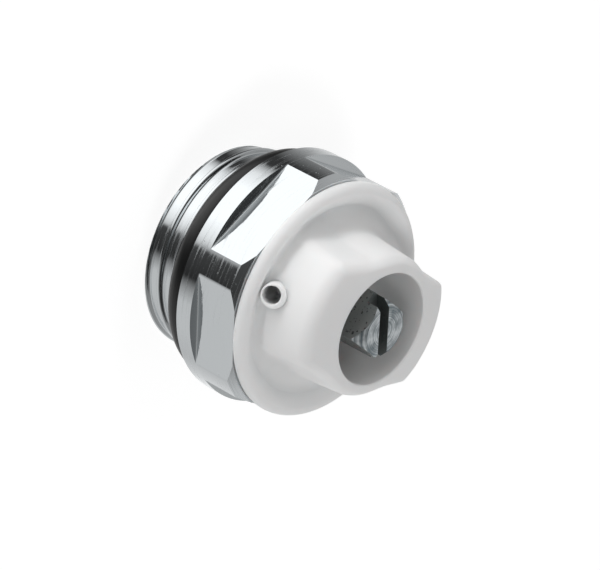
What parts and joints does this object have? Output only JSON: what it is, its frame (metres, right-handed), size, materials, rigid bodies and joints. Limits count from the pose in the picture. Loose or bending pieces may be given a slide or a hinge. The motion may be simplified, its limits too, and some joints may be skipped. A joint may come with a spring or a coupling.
{
  "type": "radiator bleed plug",
  "caption": "Chromed brass radiator plug with hexagon, sealing ring, square-headed vent screw and a swivelling white outlet collar.",
  "frame": {"origin": "centre of the flat threaded end, on the common axis", "axes": "+Z along the axis from the thread to the outlet collar; two flats of the hexagon face +X and -X"},
  "size_m": [0.0252, 0.0252, 0.022],
  "materials": {
    "chromed_brass": "bright chrome plating over turned and milled brass, fine turning lines on the chamfer",
    "white_plastic": "satin moulded white plastic",
    "plated_screw": "dull nickel plating with concentric turning marks on the face",
    "seal_rubber": "satin black moulded rubber"
  },
  "bodies": {
    "plug": {"plug_body": "chromed_brass", "body_oring": "seal_rubber"},
    "collar": {"swivel_collar": "white_plastic", "collar_oring": "seal_rubber"},
    "screw_seal": {"screw_oring": "seal_rubber"},
    "screw": {"vent_screw": "plated_screw"}
  },
  "joints": [
    {"name": "collar_swivel", "type": "hinge", "parent": "plug", "child": "collar", "pos_m": [0, 0, 0.0138], "axis": [0, 0, 1], "continuous": true},
    {"name": "screw_travel", "type": "slide", "parent": "plug", "child": "screw_seal", "axis": [0, 0, 1], "range_m": [0, 0.0015]},
    {"name": "screw_turn", "type": "hinge", "parent": "screw_seal", "child": "screw", "pos_m": [0, 0, 0.0114], "axis": [0, 0, 1], "range_deg": [0, 540]}
  ],
  "couplings": [
    {"joint": "screw_turn", "follows": "screw_travel", "rad_per_m": 6283}
  ]
}
